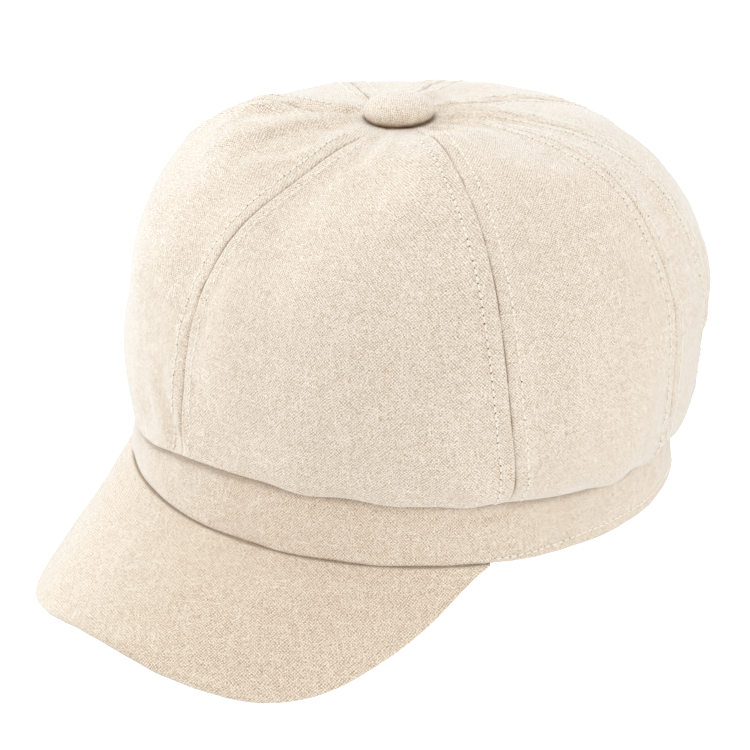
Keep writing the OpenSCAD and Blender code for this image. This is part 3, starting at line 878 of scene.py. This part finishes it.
band_tree = grid_tree(band_at(BAND_T[None], np.array([[0], [6], [12], [18], [BAND_H]])) * MM,
                      ring=True)
pucker = place_on(band_tree, *POINTS["band_pucker"])
dent = place_on(band_tree, *POINTS["band_dent"])


def hem_at(t):
    """Height of the hem's stitch row at angle t."""
    return HEM_UP + HEM_RISE * ease((np.abs(around(t)) - HEM_FROM) / HEM_OVER)


def band_relief(t, z):
    """Height of the band's cloth over the smooth band."""
    lift = 0.35 * np.sin(math.pi * np.clip(z / BAND_H, 0, 1)) ** 0.7
    p = band_at(t, z)
    lift += 0.28 * medium(p * np.array([1, 1, 2.0])) + 0.08 * fine(p)
    lift += 0.22 * wander(t, 23, 35, 7) * bell(z - BAND_H + 3, 5)
    lift -= 0.7 * bell(z - BAND_H, 1.3)
    hem = ease((np.abs(around(t)) - VISOR_HALF) / 3)
    lift += (0.2 * bell(z - 1.2, 1.2) - 0.22 * bell(z - hem_at(t), 0.7)) * hem
    for place, (deep, long, tall, slant) in ((pucker, PUCKER), (dent, DENT)):
        along = around(t - angle_of(place)) * math.radians(BAND_Y)
        lift -= deep * bell(along, long) * bell(z - place[2] / MM - slant * along, tall)
    return np.maximum(lift, -0.75)


def ring_uv(t, z):
    return np.stack([t * math.radians(BAND_Y), z], -1)


def build_band():
    """Headband: its cloth turns in at the top, under the crown, and rolls at the hem."""
    z = np.concatenate([[0.15, 0.5], np.linspace(1, BAND_H - 1.5, 30),
                        BAND_H + np.array([-1, -0.5, 0, 1])])
    t, z = np.meshgrid(BAND_T, z)
    lift = np.where(z > BAND_H - 0.01, -0.6, band_relief(t, z))
    outer = band_at(t, z, 0.5 * np.clip(1 - z / 0.8, 0, 1) - lift)
    inner = band_at(t, z, CLOTH)
    outer[0, :, 2] = inner[0, :, 2] = 0.0
    # painted shade on the band under the crown's hanging edge, and along its lower edge where the
    # visor joins it
    under = BAND_H - 0.4 - hang_of(t) - z  # down from the crown's lower edge
    at_visor = np.abs(around(t)) < VISOR_HALF + 1
    tone = BAND_TONE * bell(np.maximum(under - 0.8, 0), 1.5) \
        + VISOR_TONE * bell(z, 0.35) * at_visor
    return quilt("headband", outer, inner, ring_uv(t, z), tone, ring=True, wrap=CLOTH_ROUND)


headband = keep(build_band(), [linen_band], "linen", "headband_shell")


def band_row(z, depth, t0, t1):
    """A stitch row round the band, at height z or along the hem: points and normals."""
    t = np.arange(t0, t1, 0.4)
    z = hem_at(t) if z is None else np.full(t.shape, z)
    line = band_at(t, z, depth - (band_relief(t, z) if depth <= 0 else 0))
    return line, unit(np.stack([sind(t) / BAND_X, -cosd(t) / BAND_Y, 0 * t], 1))


hem = thread("hem_thread", [band_row(None, 0.0, VISOR_HALF + 3.2, 360 - VISOR_HALF - 1.2)])
keep(hem, stitched, "thread")
SWEAT_NEAR = CLOTH + INTERLINING  # from the band's outside to the sweatband
SWEAT_FAR = SWEAT_NEAR + SWEAT
SWEAT_ROW = 1.6  # height of its stitch row


def build_sweatband():
    """Sweatband: a soft strip with a folded top edge, sewn along its lower edge."""
    z = np.concatenate([[0, 0.4, 1, 2, 3], np.linspace(4, SWEAT_H - 3, 16),
                        SWEAT_H - np.array([2, 1, 0.4, 0])])
    t, z = np.meshgrid(BAND_T[::2], z)
    soft = 0.22 * medium(band_at(t, z, SWEAT_FAR)) * ease(z / 6)
    fold = 0.35 * bell(z - SWEAT_H + 1.6, 1.3) - 0.35 * bell(z - SWEAT_ROW, 0.7)
    return quilt("sweatband_strip", band_at(t, z, SWEAT_NEAR + STICK),
                 band_at(t, z, SWEAT_FAR + np.maximum(soft + fold, -0.5)),
                 ring_uv(t, z), ring=True, wrap=CLOTH_ROUND)


sweat = keep(build_sweatband(), [sweat_twill], "sweatband", "sweatband")
line, out = band_row(SWEAT_ROW, SWEAT_FAR, 0, 360.3)
keep(thread("sweatband_thread", [(line, -out)]), stitched, "thread")


# -------- visor
VISOR_T = np.concatenate([np.linspace(-VISOR_HALF, -VISOR_HALF + 4, 12),
                          np.linspace(-VISOR_HALF + 5, VISOR_HALF - 5, 110),
                          np.linspace(VISOR_HALF - 4, VISOR_HALF, 12)])
VISOR_BLANK = (0.200, 0.110)  # metres of cloth that hold one cover's crescent
VISOR_CUT = 0.31, 0.99  # least and greatest share of the blank in the cover


def visor_reach(t):
    """How far the visor reaches from the band at angle t."""
    u = t / VISOR_HALF
    full = VISOR_END + (VISOR_L - VISOR_END) \
        * np.maximum(1 - np.abs(u) ** VISOR_CORNER, 0) ** VISOR_CORNER_POWER
    return full - VISOR_FLAT * (bell(u, VISOR_FLAT_SHARE) - bell(1, VISOR_FLAT_SHARE))


def visor_fall(t):
    """How steeply it falls there, in degrees."""
    u, k = t / VISOR_HALF, VISOR_ROUND
    even = (np.sqrt(u * u + k * k) - k) / (math.sqrt(1 + k * k) - k)
    return VISOR_SLOPE + (VISOR_END_SLOPE - VISOR_SLOPE) * even


def visor_base(t, inset=0.0):
    return band_at(t + VISOR_TURN, 0.0, inset)


def visor_at(t, w):
    """Place on the visor's smooth top, w from the band."""
    turned = t + VISOR_TURN
    ray = unit(np.stack([VISOR_SPREAD * BAND_Y * sind(turned), -BAND_X * cosd(turned)], -1))
    fall = visor_fall(t)
    way = np.stack([ray[..., 0] * cosd(fall), ray[..., 1] * cosd(fall), -sind(fall)], -1)
    return visor_base(t) + np.asarray(w)[..., None] * way


def visor_normal(t, w, step=0.1):
    return unit(np.cross(visor_at(t, w + step) - visor_at(t, w),
                         visor_at(t + step, w) - visor_at(t - step, w)))


def visor_skin(side):
    """Smooth outside of one cover, from the band's seam to the middle of the rim. side
    is 1 for the top cover and -1 for the under cover."""
    t, half = VISOR_T[None], VISOR_THICK / 2
    last = visor_reach(t) - half
    w = np.concatenate([np.linspace(0, 0.06, 5), np.linspace(0.09, 1, 34)])[:, None] * last
    across = np.broadcast_to(t, w.shape)
    face = visor_at(across, w) - visor_normal(across, w) * (0 if side > 0 else VISOR_THICK)
    out = unit(visor_at(t, last) - visor_at(t, last - 1))
    normal = visor_normal(t, last)
    middle = visor_at(t, last) - normal * half
    rim = [middle + half * (out * cosd(a) + side * normal * sind(a))
           for a in np.linspace(80, 4, 8)]
    lead_in = visor_base(t, VISOR_SEAM) - [0, 0, STICK if side > 0 else 2 * VISOR_CLOTH]
    return np.concatenate([lead_in, face if side > 0 else face[2:]] + rim, 0)


def visor_relief(grid, run):
    """Soft unevenness of cloth pulled over a board, and a slight hollow at the seam."""
    lift = 0.16 * medium(grid) * ease(run / 6) + 0.05 * fine(grid)
    from_end = np.linspace(0, 2, grid.shape[1])[None]
    lift += 1.9 * bell(from_end, 0.2) * ease(run / 6) * (1 - ease((run - 16) / 22))
    return lift - 0.1 * bell(run, 1.0)


def build_visor(name, node, side):
    """One cover of the visor as a finished piece, and its smooth outside."""
    grid = visor_skin(side)
    normal = grid_normals(grid) * -side
    run = np.linalg.norm(grid - grid[1:2], axis=-1)
    lift = visor_relief(grid, run)
    lift[0] = 0
    outer = grid + normal * lift[..., None]
    inner = outer - normal * (VISOR_CLOTH - 0.05)
    inner[0] = outer[0] - [0, 0, 0.8 * side]
    # cloth coordinates: across the grain beside the visor's rays, and along them
    ray = unit(grid[8] - grid[1])
    step = np.diff(grid[1], axis=0)
    along = (step * ray[1:]).sum(-1)
    beside = np.sqrt(np.maximum((step ** 2).sum(-1) - along ** 2, 0))
    out = np.linalg.norm(np.diff(grid, axis=0, prepend=grid[:1]), axis=-1).cumsum(0)
    uv = np.stack([np.broadcast_to(np.append(0, beside.cumsum()), out.shape),
                   out + np.append(0, along.cumsum())], -1)
    # painted shade along the visor's seam with the band, and a fainter painted shade along the
    # middle of its rim, where the two covers meet
    tone = 0.6 * bell(run, 0.6)
    tone[-1] = 0.2
    piece = quilt(name, *((inner, outer) if side > 0 else (outer, inner)), uv, tone)
    keep(piece, [linen_visor], "visor_linen", node)
    whole = VISOR_BLANK[0] * VISOR_BLANK[1]
    least, most = (share * whole for share in VISOR_CUT)
    min(max(area_of(grid) * MM ** 2, least), most)
    return grid


top_grid = build_visor("visor_top", "visor_top_cover", 1)
build_visor("visor_under", "visor_under_cover", -1)


# -------- covered button
BUTTON_LIP, BUTTON_CLOTH, BUTTON_ROUND = 1.9, 0.8, 2.6


def build_button():
    """Cloth drawn over a domed shell: a pillow with faint pulls at its rim."""
    r = BUTTON_D / 2
    c, s = quarter(np.linspace(0, 90, 26)[:-1], BUTTON_ROUND)
    profile = np.array([(r - 2.6, 0.02), (r - 1.3, 0.05), (r - 0.5, 0.45),
                        *zip(r * c, BUTTON_LIP + (BUTTON_H - BUTTON_LIP) * s), (0.15, BUTTON_H)])
    radius, height = profile[:, :1], profile[:, 1:]
    t = np.linspace(0, 360, 96, endpoint=False)[None]
    pull = 0.10 * sind(17 * t + 20 * sind(3 * t)) * bell(height - 0.9, 1.0)
    outer = np.stack(np.broadcast_arrays((radius + pull) * sind(t), -(radius + pull) * cosd(t),
                                         height), -1)
    outer = outer + 0.06 * fine(outer * 2.2)[..., None] * np.array([0.3, 0.3, 1])
    inner = outer - grid_normals(outer, ring=True) * BUTTON_CLOTH
    inner[-1] = outer[-1] - [0, 0, BUTTON_CLOTH]
    inner[0] = outer[0] + [0, 0, 0.5]
    lean = seat_lean(outer[..., 0], outer[..., 1])
    for grid in (outer, inner):
        grid[..., 2] += lean
        grid += [*BUTTON_AT, BUTTON_SEAT]
    down = lengths(profile[::-1])[::-1, None]
    uv = np.stack([down * sind(t), -down * cosd(t)], -1)
    # painted shade at the button's foot, fading up over its lower part
    tone = 1.2 * bell(height, 0.8) + 0.34 * bell(height - 1.2, 1.8)
    return quilt("button", outer, inner, uv, tone, ring=True)


button = keep(build_button(), [linen_crown], "linen", "button_cover")

# -------- kept CAD nodes
for node, material in (("band_interlining", stiffener), ("visor_board", board_card),
                       ("button_shell", button_steel), ("button_back", button_steel),
                       ("button_washer", button_steel)):
    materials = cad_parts[node].data.materials
    for k in range(len(materials)):
        materials[k] = material
    if not materials:
        materials.append(material)

# -------- stage and light
FLOOR_Z, FLOOR_HALF = -0.16, 12.0
FLOOR_COLOUR, FLOOR_GLOW = (0.92, 0.92, 0.92, 1), 0.35
WORLD_COLOUR, WORLD_STRENGTH, BACKGROUND = (1.0, 0.968, 0.94, 1), 0.865, 1.1
LAMPS = [  # name, azimuth, elevation, distance and size in metres, power, colour
    ("left", -64, 12, 1.5, 1.3, 11.0, (0.74, 0.89, 1.0)),
    ("right", 112, 6, 1.5, 1.3, 6.3, (0.76, 0.91, 1.0)),
    ("top_back", -100, 62, 1.6, 1.2, 7.0, (0.68, 0.87, 1.0)),
]


def by_camera_ray(tree, others, camera):
    """Mixes two shaders: one that the camera sees, one for all other rays."""
    pick = tree.nodes.new("ShaderNodeMixShader")
    seen = tree.nodes.new("ShaderNodeLightPath").outputs["Is Camera Ray"]
    for k, socket in enumerate((seen, others, camera)):
        tree.links.new(socket, pick.inputs[k])
    return pick.outputs[0]


def floor_material():
    """Matt white that the camera sees a little brighter than it lights the cap."""
    n = Nodes("floor_white")
    n.look(Base_Color=FLOOR_COLOUR, Roughness=1.0, Specular_IOR_Level=0.0)
    none, glow = (n.add("Emission", {"Strength": k}).outputs[0] for k in (0.0, FLOOR_GLOW))
    both = n.add("AddShader", {0: n.shader.outputs[0], 1: by_camera_ray(n.tree, none, glow)})
    n.set(n.tree.nodes["Material Output"], "Surface", both.outputs[0])
    return n.material


def make_stage():
    """The floor and the world."""
    mesh = bpy.data.meshes.new("floor")
    mesh.from_pydata([(x * FLOOR_HALF, y * FLOOR_HALF, FLOOR_Z)
                      for x, y in ((-1, -1), (1, -1), (1, 1), (-1, 1))], [], [(0, 1, 2, 3)])
    mesh.materials.append(floor_material())
    new_thing("floor", mesh)
    world = bpy.data.worlds.new("studio")
    bpy.context.scene.world = world
    world.use_nodes = True
    tree = world.node_tree
    back = tree.nodes["Background"]
    back.inputs["Color"].default_value = WORLD_COLOUR
    back.inputs["Strength"].default_value = WORLD_STRENGTH
    sky = tree.nodes.new("ShaderNodeBackground")
    sky.inputs["Strength"].default_value = BACKGROUND
    tree.links.new(by_camera_ray(tree, back.outputs[0], sky.outputs[0]),
                   tree.nodes["World Output"].inputs["Surface"])


def lamp(name, azimuth, elevation, distance, size, power, colour):
    """Square soft box that looks at the cap."""
    way = toward(azimuth, elevation)
    data = bpy.data.lights.new(name, "AREA")
    data.shape, data.size = "SQUARE", size
    data.energy, data.color = power, colour
    light = new_thing(name, data)
    light.location = CAM_TARGET + way * distance
    light.rotation_euler = (-way).to_track_quat("-Z", "Y").to_euler()


make_stage()
for settings in LAMPS:
    lamp(*settings)
bpy.context.scene.view_settings.view_transform = "Standard"


# -------- measurements
def finished(*names):
    """Vertices, in metres, of the finished pieces of these names."""
    found = []
    for name in names:
        thing = pieces[name]
        co = np.empty(len(thing.data.vertices) * 3)
        thing.data.vertices.foreach_get("co", co)
        m = np.array(thing.matrix_world)
        found.append(co.reshape(-1, 3) @ m[:3, :3].T + m[:3, 3])
    return np.concatenate(found)


def write_points():
    """Works out how far each thing shows from its image point, in pixels."""
    seen = seen_at(finished(*pieces))
    out = {name: {key: round(float(value) - EDGES[name], 1)} for name, key, value in (
        ("left", "dx", seen[:, 0].min()), ("right", "dx", seen[:, 0].max()),
        ("top", "dy", seen[:, 1].min()), ("bottom", "dy", seen[:, 1].max()))}

    def tell(name, at):
        gap = at - np.array(POINTS[name])
        dx, dy = gap[np.argmin((gap ** 2).sum(1))]  # the place nearest to the point
        out[name] = {"dx": round(float(dx), 1), "dy": round(float(dy), 1)}

    def note(name, places):
        tell(name, seen_at(places))

    at = seen_at(finished("button"))
    tell("button", [(at.min(0) + at.max(0)) / 2])
    for j in range(SEAMS_IN_VIEW):
        note(f"seam_{j + 1}", panel_outer[j][:, 0] * MM)
    note("visor_corner", top_grid[-1] * MM)
    note("visor_end", top_grid[-9:, -1] * MM)
    t = np.arange(-60, 120, 0.5)
    note("band_top", band_at(t, BAND_H) * MM)
    note("band_bottom", band_at(t, 0.0) * MM)
    note("hem_stitches", band_row(None, 0.0, VISOR_HALF, 150)[0] * MM)
    note("band_pucker", np.array([pucker]))
    note("band_dent", np.array([dent]))


write_points()
